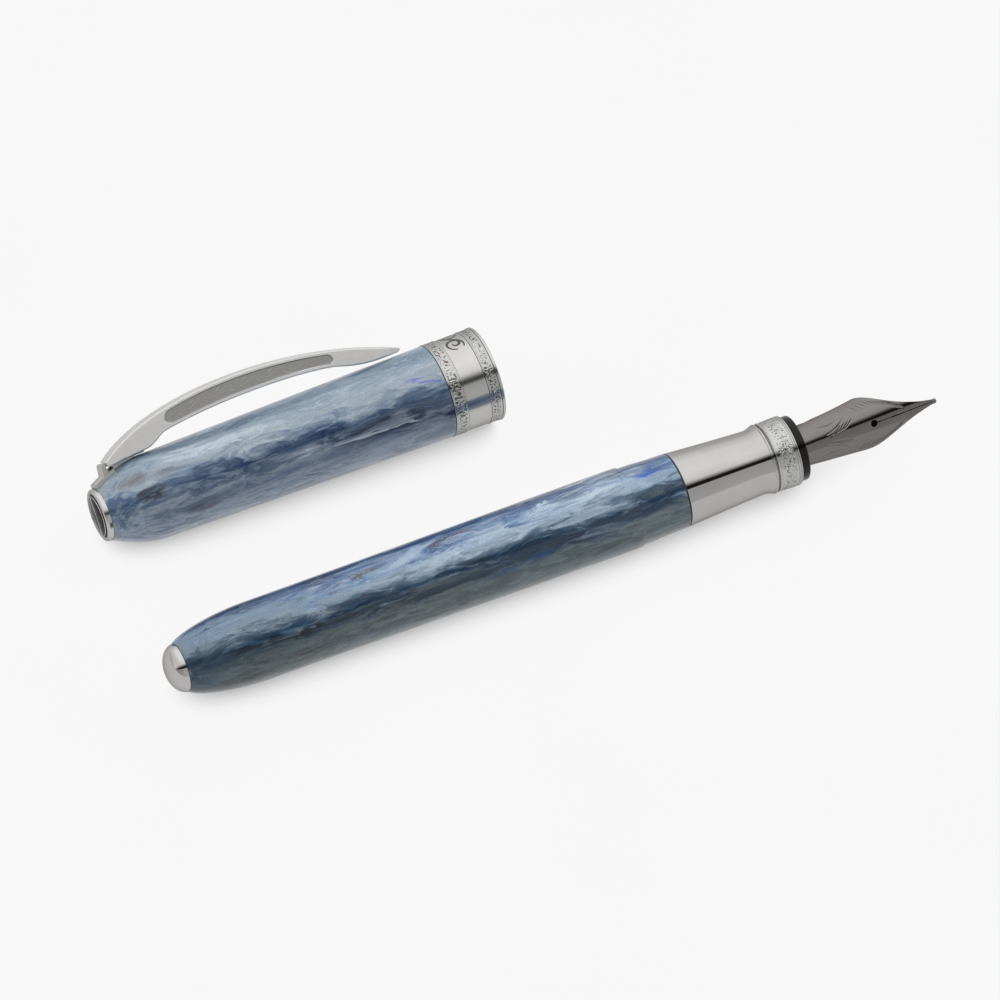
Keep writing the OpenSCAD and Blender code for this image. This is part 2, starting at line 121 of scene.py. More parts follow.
# ---------------------------------------------------------------- shader nodes
class Nodes:
    """Short calls for the few node types that the materials use."""

    def __init__(self, tree):
        self.tree = tree
        tree.nodes.clear()

    def add(self, kind, **settings):
        node = self.tree.nodes.new(kind)
        for key, value in settings.items():
            setattr(node, key, value)
        return node

    def put(self, socket, value):
        if isinstance(value, bpy.types.NodeSocket):
            self.tree.links.new(value, socket)
        elif value is not None:
            socket.default_value = value

    def place(self, scale=(1, 1, 1), origin=(0, 0, 0)):
        """Object coordinates in millimetres from an origin, stretched."""
        mapping = self.add("ShaderNodeMapping")
        self.put(mapping.inputs["Vector"], self.add("ShaderNodeTexCoord").outputs["Object"])
        self.put(mapping.inputs["Scale"], [s / MM for s in scale])
        self.put(mapping.inputs["Location"], [-s * o / MM for s, o in zip(scale, origin)])
        return mapping.outputs["Vector"]

    def noise(self, vector, scale=1.0, detail=3.0, rough=0.55, distortion=0.0, color=False):
        node = self.add("ShaderNodeTexNoise")
        self.put(node.inputs["Vector"], vector)
        self.put(node.inputs["Scale"], scale)
        self.put(node.inputs["Detail"], detail)
        self.put(node.inputs["Roughness"], rough)
        self.put(node.inputs["Distortion"], distortion)
        return node.outputs["Color" if color else 0]

    def math(self, kind, a, b=None):
        node = self.add("ShaderNodeMath", operation=kind)
        self.put(node.inputs[0], a)
        self.put(node.inputs[1], b)
        return node.outputs[0]

    def product(self, first, *rest):
        for other in rest:
            first = self.math("MULTIPLY", first, other)
        return first

    def off_centre(self, value, amount, centre=0.5):
        """How far value lies from centre, times amount."""
        return self.math("MULTIPLY", self.math("SUBTRACT", value, centre), amount)

    def vector(self, kind, a, b=None, scale=None):
        node = self.add("ShaderNodeVectorMath", operation=kind)
        self.put(node.inputs[0], a)
        self.put(node.inputs[1], b)
        if scale is not None:
            self.put(node.inputs["Scale"], scale)
        return node.outputs["Value" if kind == "DOT_PRODUCT" else "Vector"]

    def span(self, value, low, high, to_low=0.0, to_high=1.0, smooth=True):
        """value, taken from low..high to to_low..to_high."""
        node = self.add("ShaderNodeMapRange", clamp=True)
        node.interpolation_type = "SMOOTHSTEP" if smooth else "LINEAR"
        for index, number in enumerate((value, low, high, to_low, to_high)):
            self.put(node.inputs[index], number)
        return node.outputs[0]

    def ramp(self, value, stops):
        """Colours between stops of (place, linear colour)."""
        node = self.add("ShaderNodeValToRGB")
        elements = node.color_ramp.elements
        while len(elements) < len(stops):
            elements.new(0.5)
        for element, (place, color) in zip(elements, stops):
            element.position = place
            element.color = color
        self.put(node.inputs[0], value)
        return node.outputs["Color"]

    def mix(self, fac, a, b, blend="MIX"):
        node = self.add("ShaderNodeMix", data_type="RGBA", blend_type=blend)
        self.put(node.inputs[0], fac)
        self.put(node.inputs[6], a)
        self.put(node.inputs[7], b)
        return node.outputs[2]

    def bump(self, height, distance, strength=1.0):
        node = self.add("ShaderNodeBump")
        self.put(node.inputs["Strength"], strength)
        self.put(node.inputs["Distance"], distance * MM)
        self.put(node.inputs["Height"], height)
        return node.outputs["Normal"]

    def surface(self, **inputs):
        shader = self.add("ShaderNodeBsdfPrincipled")
        for key, value in inputs.items():
            self.put(shader.inputs[key.replace("_", " ")], value)
        out = self.add("ShaderNodeOutputMaterial")
        self.put(out.inputs["Surface"], shader.outputs[0])


def srgb(r, g, b):
    """A linear colour from sRGB bytes."""
    linear = [((c / 255 + 0.055) / 1.055) ** 2.4 if c > 10 else c / 255 / 12.92 for c in (r, g, b)]
    return linear + [1.0]


def shades(rgb, darker, lighter):
    """Two colours close to rgb, for a fine mix of both."""
    return srgb(*[c * darker for c in rgb]), srgb(*[min(c * lighter, 250) for c in rgb])


def material(name):
    made = bpy.data.materials.new(name)
    made.use_nodes = True
    return made, Nodes(made.node_tree)


# What polished metal keeps of the light that grazes it
RIM_RGB = [196, 195, 193]


def metal(name, rgb, rough=0.12, wear=0.05, grain=(1, 1, 1), grain_depth=0.0, dark=None):
    """A metal with fine wear in its roughness. grain stretches its fine marks, and dark fills what the relief
    attribute says is low, which paints shade into recesses."""
    made, n = material(name)
    fine = n.noise(n.place(grain), scale=6, detail=5)
    broad = n.noise(n.place(), scale=0.25, detail=2)
    color = n.mix(n.span(broad, 0.3, 0.7), *shades(rgb, 0.985, 1.01))
    roughness = n.span(fine, 0.3, 0.7, rough - wear / 2, rough + wear, smooth=False)
    if dark is not None:
        # Painted shade: recesses turn towards dark and grow rougher
        low = n.add("ShaderNodeAttribute", attribute_name="relief").outputs["Fac"]
        shade = n.span(low, 0.15, 0.55)
        color = n.mix(shade, srgb(*dark), color)
        roughness = n.span(shade, 0, 1, rough + 0.25, rough, smooth=False)
    n.surface(
        Base_Color=color,
        Metallic=1.0,
        Roughness=roughness,
        Specular_Tint=srgb(*RIM_RGB),
        Normal=n.bump(fine, grain_depth) if grain_depth else None,
    )
    return made


def plastic(name, rgb, rough, speck=0.03, gloss=0.5):
    """Plastic, rubber or lacquer with faint mottling in its colour and roughness."""
    made, n = material(name)
    fine = n.noise(n.place(), scale=3, detail=4)
    n.surface(
        Base_Color=n.mix(n.span(fine, 0.3, 0.7), *shades(rgb, 0.8, 1.15)),
        Roughness=n.span(fine, 0.3, 0.7, rough - speck, rough + speck, smooth=False),
        Specular_IOR_Level=gloss,
        Normal=n.bump(fine, 0.004),
    )
    return made


def resin(name, place, bands, streaks, veins, patches, tail=1.0):
    """Swirled pearly resin. bands colours its layers from the lower side of the resting piece to the upper one,
    and so also paints its light and shade. veins and patches sit at (station, height) in millimetres: along the
    piece's axis, and across it over the resting pen. tail dims the end near station 0."""
    made, n = material(name)
    origin, along = place.translation, place.col[0].to_3d()
    across = (Vector(LAYERS_AND_SHADE_UP) - along * along.dot(Vector(LAYERS_AND_SHADE_UP))).normalized()
    toward = across.cross(along) if across.cross(along).z > 0 else along.cross(across)
    raw = n.place((1, 1, 1), origin)
    station = n.vector("DOT_PRODUCT", raw, along)
    height = n.vector("DOT_PRODUCT", raw, across)
    depth = n.vector("DOT_PRODUCT", raw, toward)
    flow = n.noise(n.place(RESIN_FLOW, origin), scale=1.0, detail=3, rough=0.5, color=True)
    warp = n.vector("SUBTRACT", flow, (0.5, 0.5, 0.5))

    def pushed(scale, amount):
        return n.vector("ADD", n.place(scale, origin), n.vector("SCALE", warp, scale=amount))

    swirl = n.noise(pushed(RESIN_FLOW, 1.6), scale=2.0, detail=5, rough=0.55, distortion=0.6)
    cloud = n.noise(pushed((0.05, 0.2, 0.2), 0.8), scale=1.4, detail=3)
    fine = n.noise(pushed((0.11, 0.6, 0.6), 3.4), scale=0.8, detail=5, rough=0.58, distortion=0.5)
    thread = n.noise(pushed((0.07, 0.45, 0.45), 4.2), scale=1.0, detail=3, rough=0.5)

    # Layers with painted light and shade: the height across the resting piece, pushed about by the three noises
    layer_and_shade = n.span(height, -7, 7, smooth=False)
    for push, amount in ((swirl, 0.62), (cloud, 0.35), (fine, 0.3)):
        layer_and_shade = n.math("ADD", layer_and_shade, n.off_centre(push, amount))
    color = n.ramp(layer_and_shade, [(stop, srgb(*rgb)) for stop, rgb in bands])

    def paint(color, amount, rgb):
        return n.mix(amount, color, srgb(*rgb))

    # Streaks along the piece: broad pale and dark ones, then thin threads. The pale ones are weighted
    # towards the upper side, which paints a sheen over the pale resin
    pale, pale_and_sheen_rgb, dark, dark_rgb, brown_rgb = streaks
    upper = n.span(height, -3.5, 1.5, 0.2, 1)
    color = paint(color, n.product(n.span(fine, 0.5, 0.7), pale, upper), pale_and_sheen_rgb)
    color = paint(color, n.product(n.span(fine, 0.44, 0.28), dark), dark_rgb)
    near = n.math("ABSOLUTE", n.math("SUBTRACT", thread, 0.5))
    color = paint(color, n.product(n.span(near, 0.02, 0.0, 0, 0.55), n.span(cloud, 0.52, 0.64)), brown_rgb)
    # Pale wisps, stronger on the upper side: painted sheen as well as pale resin
    near = n.math("ABSOLUTE", n.math("SUBTRACT", thread, 0.58))
    wisp = n.product(n.span(near, 0.035, 0.0, 0, 0.45), n.span(swirl, 0.46, 0.6))
    color = paint(color, n.product(wisp, n.span(height, -2.5, 1, 0.12, 1)), pale_and_sheen_rgb)

    # Veins and patches show on the camera's side of the resting piece only
    bend = n.off_centre(swirl, 4.0)
    front = n.span(depth, -1.0, 1.0)
    for rgb, (s0, h0), (s1, h1), half, strength in veins:
        # A vein follows a line between two places, thin and broken up
        line = n.span(station, s0, s1, h0, h1, smooth=False)
        away = n.math("ABSOLUTE", n.math("ADD", n.math("SUBTRACT", height, line), bend))
        ends = n.product(n.span(station, s0 - 2, s0 + 2), n.span(station, s1 + 2, s1 - 2))
        broken = n.product(front, n.span(fine, 0.6, 0.42, 0.1, 1))
        color = paint(color, n.product(n.span(away, half, half * 0.1), ends, broken, strength), rgb)
    for rgb, (s, h), (long, tall), strength in patches:
        ds = n.math("DIVIDE", n.math("SUBTRACT", station, s), long)
        dh = n.math("ADD", n.math("SUBTRACT", height, h), n.math("MULTIPLY", bend, 0.6))
        dh = n.math("DIVIDE", dh, tall)
        away = n.math("ADD", n.math("MULTIPLY", ds, ds), n.math("MULTIPLY", dh, dh))
        away = n.math("ADD", away, n.off_centre(fine, 2.4))
        broken = n.span(thread, 0.36, 0.56, 0.25, 1)
        color = paint(color, n.product(n.span(away, 1.3, 0.1), front, broken, strength), rgb)
    dimmer = n.ramp(n.span(station, 4, 48), [(0, srgb(*[255 * tail] * 3)), (1, srgb(255, 255, 255))])
    color = n.mix(1.0, color, dimmer, "MULTIPLY")

    # Pearl flakes: tiny differences in brightness and tilt
    flake = n.noise(raw, scale=7, detail=2, rough=0.8)
    glint = n.ramp(flake, [(0.36, srgb(160, 165, 170)), (0.66, srgb(255, 255, 255))])
    color = n.mix(0.55, color, n.mix(1.0, color, glint, "MULTIPLY"))
    n.surface(
        Base_Color=color,
        Metallic=0.32,
        Roughness=n.span(flake, 0.3, 0.7, 0.34, 0.46, smooth=False),
        Specular_IOR_Level=0.2,
        Coat_Weight=0.7,
        Coat_IOR=1.45,
        Coat_Roughness=0.03,
        Normal=n.bump(flake, 0.006, 0.5),
    )
    return made


# The direction across the resting pieces in which the resin's layers, and the light and shade painted with them,
# change
LAYERS_AND_SHADE_UP = (0, 0.795, 0.606)
# The resin's swirls are drawn out along the pieces, which lie close to x
RESIN_FLOW = (0.07, 0.3, 0.3)


def clear_plastic():
    """Clear moulded tube, slightly smoky, with faint flow marks."""
    made, n = material("clear_plastic")
    flow = n.noise(n.place((0.2, 1, 1)), scale=1.2, detail=3)
    n.surface(
        Base_Color=n.ramp(flow, [(0.3, srgb(206, 216, 222)), (0.7, srgb(226, 232, 236))]),
        Roughness=n.span(flow, 0.3, 0.7, 0.04, 0.1, smooth=False),
        Transmission_Weight=0.85,
        IOR=1.48,
        Normal=n.bump(flow, 0.01),
    )
    return made


def clip_satin():
    """Satin metal, darker and rougher in the sunk panel, with painted shade in a line round it and on its top
    edge.
    """
    made, n = material("clip_satin")
    level = n.add("ShaderNodeAttribute", attribute_name="relief").outputs["Fac"]
    brushed = n.noise(n.place((0.12, 3, 3)), scale=5, detail=5)
    grit = n.noise(n.place(), scale=9, detail=4)
    plain = n.mix(n.span(brushed, 0.3, 0.7), srgb(230, 229, 227), srgb(242, 241, 239))
    panel = n.mix(n.span(grit, 0.3, 0.7), srgb(164, 163, 161), srgb(178, 177, 175))
    # The top edge's level falls between the panel's and the plain metal's: painted shade there
    color = n.mix(n.span(level, 0.55, 0.95), panel, plain)
    n.surface(
        # Painted shade: the dark line round the panel
        Base_Color=n.mix(n.span(level, 0.4, 0.05), color, srgb(84, 82, 80)),
        Metallic=1.0,
        Roughness=n.span(level, 0.5, 0.9, 0.5, 0.44, smooth=False),
        Normal=n.bump(brushed, 0.0025),
    )
    return made


materials = {
    "barrel_resin": resin(
        "barrel_resin", pen,
        # Besides the resin's colours, these paint light: a darker underside, a pale sheen on the upper side
        # and a dark band just under the middle that paints the reflection of the studio's dark gap
        [(0.02, (50, 60, 64)), (0.12, (86, 98, 102)), (0.2, (70, 84, 92)), (0.28, (98, 112, 116)),
         (0.36, (62, 84, 100)), (0.45, (30, 58, 88)), (0.54, (80, 108, 134)), (0.64, (146, 166, 184)),
         (0.75, (128, 158, 188)), (0.85, (70, 106, 152)), (0.95, (34, 64, 108))],
        (0.6, (196, 212, 226), 0.6, (40, 50, 60), (84, 66, 58)),
        [((24, 24, 28), (9, -0.6), (38, -1.6), 0.7, 0.95), ((40, 42, 46), (36, -2.2), (66, -2.2), 0.9, 0.7),
         ((92, 72, 62), (26, 4.0), (36, 4.4), 0.35, 0.9), ((96, 78, 72), (42, 4.9), (52, 4.7), 0.35, 0.8),
         ((66, 56, 54), (16, -4.0), (46, -3.2), 0.6, 0.7), ((36, 56, 84), (56, -1.2), (82, -1.6), 1.1, 0.85),
         # The pale veins from (40, 2.4) and from (60, 4.2), high on the upper side, are painted highlights
         ((206, 222, 236), (40, 2.4), (78, 3.6), 0.9, 0.75),
         ((200, 218, 232), (60, 4.2), (79, 4.9), 0.8, 0.8), ((44, 80, 128), (28, 5.8), (78, 5.9), 0.6, 0.8)],
        [((16, 86, 190), (79.2, 4.1), (2.2, 0.6), 0.9), ((20, 70, 128), (59.6, -2.2), (3.2, 0.45), 0.7),
         ((34, 76, 118), (52.5, -2.8), (5.0, 0.6), 0.6), ((34, 84, 120), (17, 0.2), (7.0, 0.8), 0.75),
         ((52, 88, 112), (6, -1), (4.0, 4.0), 0.6), ((14, 14, 16), (38.8, -0.8), (1.6, 0.35), 0.95)],
        tail=0.86,
    ),
    "cap_resin": resin(
        "cap_resin", cap,
        [(0.02, (102, 116, 138)), (0.12, (150, 162, 180)), (0.22, (116, 132, 156)), (0.32, (156, 168, 184)),
         (0.41, (98, 118, 144)), (0.48, (64, 92, 126)), (0.57, (120, 142, 164)), (0.68, (160, 172, 182)),
         (0.8, (146, 164, 180)), (0.9, (126, 148, 166)), (0.99, (96, 122, 148))],
        (0.5, (200, 212, 222), 0.5, (78, 90, 112), (96, 90, 98)),
        [((36, 62, 104), (14, 0.4), (38, -0.4), 1.7, 0.9), ((20, 44, 82), (34, -1.0), (57, -3.0), 2.3, 0.95),
         ((28, 46, 74), (36, -1.8), (57, -3.7), 2.1, 0.9),
         ((40, 56, 206), (49, 3.2), (57, 0.9), 0.34, 0.95),
         ((206, 220, 232), (30, -1.9), (52, -3.2), 0.5, 0.8),
         ((214, 226, 236), (10, 4.4), (30, 3.2), 1.0, 0.65),
         ((110, 104, 112), (2, 3.4), (12, 2.4), 0.9, 0.6)],
        [((40, 36, 46), (7.0, 0.4), (2.4, 1.3), 0.85), ((78, 76, 92), (14, -4.2), (3.0, 0.7), 0.7),
         ((104, 98, 104), (5, 3.4), (2.4, 1.2), 0.6)],
    ),
    "clear_plastic": clear_plastic(),
    "clip_satin": clip_satin(),
    "gunmetal": metal("gunmetal", (176, 174, 172), rough=0.05, wear=0.03),
    "dome_steel": metal("dome_steel", (182, 181, 179), rough=0.07, wear=0.03),
    "polished_steel": metal("polished_steel", (186, 185, 183), rough=0.17, wear=0.03),
    "textured_steel": metal("textured_steel", (180, 180, 179), rough=0.14, wear=0.05, dark=(92, 91, 89)),
    "satin_steel": metal("satin_steel", (196, 195, 192), rough=0.38, wear=0.06, grain=(0.15, 3, 3),
                         grain_depth=0.002),
    "plain_steel": metal("plain_steel", (168, 170, 172), rough=0.25, wear=0.08, grain=(8, 0.6, 0.6),
                         grain_depth=0.003),
    "nib_metal": metal("nib_metal", (118, 115, 113), rough=0.11, wear=0.04, dark=(16, 15, 15)),
    "tipping": metal("tipping", (112, 112, 112), rough=0.2, wear=0.05, grain_depth=0.003),
    "magnet": metal("magnet", (150, 152, 155), rough=0.2, wear=0.08),
    "end_disc_metal": plastic("end_disc_metal", (16, 16, 18), 0.26, gloss=0.08),
    "black_plastic": plastic("black_plastic", (24, 24, 26), 0.42),
    "black_gloss": plastic("black_gloss", (8, 8, 9), 0.14, speck=0.02, gloss=0.22),
    "seal_plastic": plastic("seal_plastic", (214, 212, 204), 0.4),
    "dark_rubber": plastic("dark_rubber", (40, 30, 22), 0.5),
    "scroll_enamel": plastic("scroll_enamel", (52, 52, 54), 0.4),
}


# ---------------------------------------------------------------- mesh helpers
def add_piece(name, verts, faces, place, body, slot, finish=None, relief=None, crease=32, replaces=()):
    """A smooth shaded mesh, given in millimetres in a local frame, riding on a CAD body. relief says how high
    each point stands, from 0 in a recess to 1, for the materials that paint shade into recesses."""
    mesh = bpy.data.meshes.new(name)
    mesh.from_pydata([place @ (Vector(v) * MM) for v in verts], [], faces)
    mesh.validate()
    if relief is not None:
        attribute = mesh.attributes.new("relief", "FLOAT", "POINT")
        attribute.data.foreach_set("value", np.array(relief, np.float32))
    mesh.shade_smooth()
    mesh.set_sharp_from_angle(angle=math.radians(crease))
    obj = bpy.data.objects.new(name, mesh)
    bpy.context.scene.collection.objects.link(obj)
    mesh.materials.append(materials[finish or slot])
    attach(obj, body)
    if replaces:
        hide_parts(*replaces)


def turned(name, profile, place, body, slot, segments=160, height=None, **more):
    """A piece turned about x from a closed outline of (radius, station). height(radius, station, angle)
    gives how far a point on the outline is raised."""
    verts, faces, relief, rings = [], [], [], []
    angles = [2 * math.pi * i / segments for i in range(segments)]
    for radius, station in profile:
        if radius < 1e-6:
            rings.append([len(verts)])
            verts.append((station, 0, 0))
            relief.append(1.0)
            continue
        rings.append(list(range(len(verts), len(verts) + segments)))
        for angle in angles:
            rise, tone = height(radius, station, angle) if height else (0.0, 1.0)
            r = radius + rise
            verts.append((station, r * math.cos(angle), r * math.sin(angle)))
            relief.append(tone)
    for a, b in zip(rings, rings[1:] + rings[:1]):
        if len(a) == 1 and len(b) == 1:
            continue
        for i in range(segments):
            k = (i + 1) % segments
            if len(a) == 1:
                faces.append((a[0], b[k], b[i]))
            elif len(b) == 1:
                faces.append((a[i], a[k], b[0]))
            else:
                faces.append((a[i], a[k], b[k], b[i]))
    add_piece(name, verts, faces, place, body, slot, relief=relief, **more)


def spread(a, b, count):
    """Numbers from a to b in count equal steps."""
    return [a + (b - a) * i / count for i in range(count + 1)]


def arc(center_r, center_s, radius, start, end, count):
    """Points on a round edge; 0 degrees is outwards and 90 is along +x."""
    return [
        (center_r + radius * math.cos(math.radians(t)), center_s + radius * math.sin(math.radians(t)))
        for t in spread(start, end, count)
    ]


def bezier(p, count):
    """Points along a cubic curve with four control points."""
    points = []
    for t in spread(0, 1, count):
        w = ((1 - t) ** 3, 3 * t * (1 - t) ** 2, 3 * t * t * (1 - t), t ** 3)
        points.append(tuple(sum(wi * q[k] for wi, q in zip(w, p)) for k in range(2)))
    return points


def smooth(x):
    """A soft step from 0 to 1 as x goes from 0 to 1."""
    x = min(max(x, 0.0), 1.0)
    return x * x * (3 - 2 * x)


def push_at(p):
    """A smooth vector that varies from place to place."""
    shifts = ((0, 0, 0), (31.4, 17.2, 5.9), (8.3, 44.1, 27.7))
    return Vector([noise.noise(p + Vector(shift)) for shift in shifts])


def worm_marks(p, shift):
    """Short, crossing worm-like marks: 0 in a mark and 1 outside."""
    push = push_at(p * 0.6 + shift)
    worm = abs(noise.noise(p + push * 1.1 + shift * 2))
    second = abs(noise.noise(p * 1.7 + push + shift * 3))
    return min(1.0, worm * 5.5) * (0.55 + 0.45 * min(1.0, second * 6))


def pit_marks(p, shift):
    """Small pits and grains: 0 in a pit and 1 outside."""
    push = push_at(p * 0.5 + shift)
    grain = 0.5 + 0.5 * noise.noise(p + push + shift * 2)
    fine = 0.5 + 0.5 * noise.noise(p * 2.2 + shift * 3)
    return min(1.0, max(0.0, (grain * 0.65 + fine * 0.35 - 0.34) * 3.2))


def textured(marks, low, high, edge, least_radius, depth, level_at, darkness, scale, seed):
    """Relief between two stations, fading out over edge at both. Points inside least_radius stay plain, and
    the surface keeps its radius where the marks reach level_at. darkness sets the painted shade in their hollows."""

    def height(radius, station, angle):
        if not low < station < high or radius < least_radius:
            return 0.0, 1.0
        fade = smooth((station - low) / edge) * smooth((high - station) / edge)
        p = Vector((station, radius * math.cos(angle), radius * math.sin(angle))) * scale
        level = marks(p, Vector((seed, seed * 2, seed * 3)))
        # The tone paints shade into the marks' hollows
        return depth * fade * (level - level_at), 1 - fade * (1 - level) * darkness

    return height


# ---------------------------------------------------------------- barrel
# Stations along the pen, from the tip of its tail: where the tail's rounding ends, the barrel stops, its insert
# ends, and the trim ring, the black ring and the nib start
ROUND_S, STOP_S, JOINT_S, TRIM_S, RING_S, NIB_S = 15.3, 76.1, 83.9, 99.1, 102.8, 104.2
DOME_H, DOME_R, TAIL_R, BARREL_R = 2.5, 3.8, 6.12, 6.34
GAP = 0.02  # between pieces that would else share a face


def barrel_radius(s):
    if s < ROUND_S:
        return DOME_R + (TAIL_R - DOME_R) * max(0.0, 1 - ((ROUND_S - s) / (ROUND_S - DOME_H)) ** 2) ** 0.7
    return TAIL_R + (BARREL_R - TAIL_R) * (1 - math.cos(math.pi * (s - ROUND_S) / (STOP_S - ROUND_S))) / 2


barrel_profile = [(1.3, DOME_H + GAP)]
for t in spread(0, math.pi / 2, 36):
    s = DOME_H + GAP + (ROUND_S - DOME_H - GAP) * (1 - math.cos(t))
    barrel_profile.append((barrel_radius(s), s))
barrel_profile += [(barrel_radius(s), s) for s in spread(ROUND_S, STOP_S - 0.06, 50)[1:]]
barrel_profile += [(6.31, STOP_S), (6.13, STOP_S + 0.12), (6.09, STOP_S + 0.35)]
barrel_profile += bezier([(6.085, 78.1), (6.0, 79.6), (5.9, 80.6), (5.88, JOINT_S - 0.2)], 12)
barrel_profile += arc(5.8, JOINT_S - 0.08, 0.08, 0, 90, 5)
# Inside: the insert's seat, the bore and the hole for the dome's stud
barrel_profile += [(5.2, JOINT_S), (5.2, 74), (4.9, 74), (4.9, 17), (3.4, 13), (1.3, 13)]
turned("barrel_shell", barrel_profile, pen, "barrel", "barrel_resin", replaces=["barrel"])

dome_profile = [(DOME_R * math.sin(t), DOME_H * (1 - math.cos(t))) for t in spread(0, math.pi / 2 - 0.08, 18)]
dome_profile += [(DOME_R, DOME_H - 0.1), (DOME_R - 0.04, DOME_H), (1.25, DOME_H), (1.25, 6), (0, 6)]
turned("end_dome", dome_profile, pen, "barrel", "polished_steel", finish="dome_steel", replaces=["tail_dome"])

# ---------------------------------------------------------------- grip
GRIP_S, WAIST_S = JOINT_S + 0.25, TRIM_S - 2.2
BACK_R, WAIST_R, BEAD_R = 5.83, 5.05, 5.48
grip_profile = [(4.42, GRIP_S), (5.78, GRIP_S)] + arc(BACK_R - 0.06, GRIP_S + 0.06, 0.06, -90, 0, 4)[1:]
for t in spread(0, 1, 30)[1:]:
    grip_profile.append((WAIST_R + (BACK_R - WAIST_R) * (1 - t) ** 1.15, GRIP_S + (WAIST_S - GRIP_S) * t))
for t in spread(0, 1, 8)[1:]:
    grip_profile.append((WAIST_R + 0.27 * t * t, WAIST_S + (TRIM_S - 0.98 - WAIST_S) * t))
grip_profile += arc(BEAD_R - 0.2, TRIM_S - 0.5, 0.2, -75, 75, 8)
grip_profile += [(5.22, TRIM_S - 0.12), (5.2, TRIM_S), (4.03, TRIM_S), (4.03, RING_S - GAP),
                 (3.75, RING_S - GAP), (3.75, 93), (4.42, 93)]
turned("grip_shell", grip_profile, pen, "section", "gunmetal", replaces=["grip_section"])


TRIM_LOW, TRIM_HIGH = TRIM_S + 0.62, RING_S - 0.72
trim_profile = [(4.92, TRIM_S + GAP), (5.3, TRIM_S + GAP)] + arc(5.33, TRIM_S + 0.22, 0.12, -60, 60, 6)
trim_profile += [(5.36, TRIM_S + 0.42), (5.36, TRIM_S + 0.5)]
trim_profile += [(5.38 + 0.1 * t, TRIM_LOW - 0.05 + (TRIM_HIGH - TRIM_LOW + 0.1) * t)
                 for t in spread(0, 1, 40)]
trim_profile += [(5.42, RING_S - 0.58)] + arc(5.38, RING_S - 0.4, 0.13, -70, 70, 6)
trim_profile += [(5.36, RING_S - 0.24)] + arc(5.34, RING_S - 0.12, 0.12, -60, 60, 6) + [(4.92, RING_S)]
grip_marks = textured(worm_marks, TRIM_LOW, TRIM_HIGH, edge=0.25, least_radius=5, depth=0.06, level_at=0.75,
                      darkness=1.0, scale=2.3, seed=3.1)
turned("grip_ring", trim_profile, pen, "section", "polished_steel", finish="textured_steel", segments=520,
       height=grip_marks, replaces=["grip_trim_ring"])

black_profile = [(3.75, RING_S + GAP), (5.0, RING_S + GAP)] + arc(5.0, RING_S + 0.14, 0.12, -90, 0, 5)[1:]
black_profile += arc(4.82, NIB_S - 0.3, 0.3, 0, 90, 8) + [(3.75, NIB_S)]
turned("black_ring", black_profile, pen, "section", "black_gloss", replaces=["closure_ring"])

# ---------------------------------------------------------------- nib
NIB_LEN, NIB_T, BREATHER_X, BREATHER_R, SLIT_HALF = 22.6, 0.35, 12.0, 0.5, 0.05
# The sheet is a strip of a cone: its radius at the root, how fast that grows, and how fast its axis drops
SHANK_R, GROWTH, DROOP = 3.19, 0.1075, math.tan(math.radians(9.5))
SHANK_IN = -6  # where the sheet's hidden end is, inside the housing
SHANK_REACH = 1.62  # half the angle that the hidden part wraps round, in radians
CUT_HALF, CUT_DEPTH = 0.085, 0.06  # engraved strokes
# The outline: half widths along the sheet
nib_edge = [(SHANK_IN, 3.22), (0.0, 3.24)]
nib_edge += bezier([(0.01, 3.3), (4, 3.45), (8, 3.85), (10.4, 4.12)], 14)
nib_edge += bezier([(10.6, 4.12), (13.2, 4.22), (15.4, 1.5), (NIB_LEN - 0.6, 0.34)], 40)
nib_edge.append((NIB_LEN - 0.3, 0.3))
edge_x, edge_w = zip(*nib_edge)


def barbs():
    """Engraved strokes as short runs of points (x, sideways): a plain feather on each shoulder."""
    strokes = []
    for side in (-1, 1):
        for root in spread(8.8, 15.2, 9):
            reach = float(np.interp(root, edge_x, edge_w)) - 0.35
            run = min(1.5, reach - 0.4)
            strokes.append([(root + 2.0 * t, side * (reach - run * t ** 1.3)) for t in spread(0, 1, 8)])
        for i in range(4):
            x0, y0 = 4.6 + 0.7 * i, 0.35 + 0.12 * i
            strokes.append([(x0 + 2.6 * t, side * (y0 + 1.5 * t ** 1.5)) for t in spread(0, 1, 8)])
        strokes.append([(4.2 + 4.4 * t, side * (0.9 + 2.3 * t ** 1.7)) for t in spread(0, 1, 10)])
        strokes.append([(2.0 + 5.2 * t, side * (2.6 - 0.5 * math.sin(math.pi * t)))
                        for t in spread(0, 1, 12)])
    return strokes


def nearest(points_x, points_y, stroke):
    """Distance of each point to a stroke, and how far along it the nearest place is."""
    best = np.full(points_x.shape, 9.0)
    along = np.zeros(points_x.shape)
    for k, ((x0, y0), (x1, y1)) in enumerate(zip(stroke, stroke[1:])):
        dx, dy = x1 - x0, y1 - y0
        t = np.clip(((points_x - x0) * dx + (points_y - y0) * dy) / (dx * dx + dy * dy), 0, 1)
        d = np.hypot(points_x - x0 - t * dx, points_y - y0 - t * dy)
        closer = d < best
        best = np.where(closer, d, best)
        along = np.where(closer, (k + t) / (len(stroke) - 1), along)
    return best, along


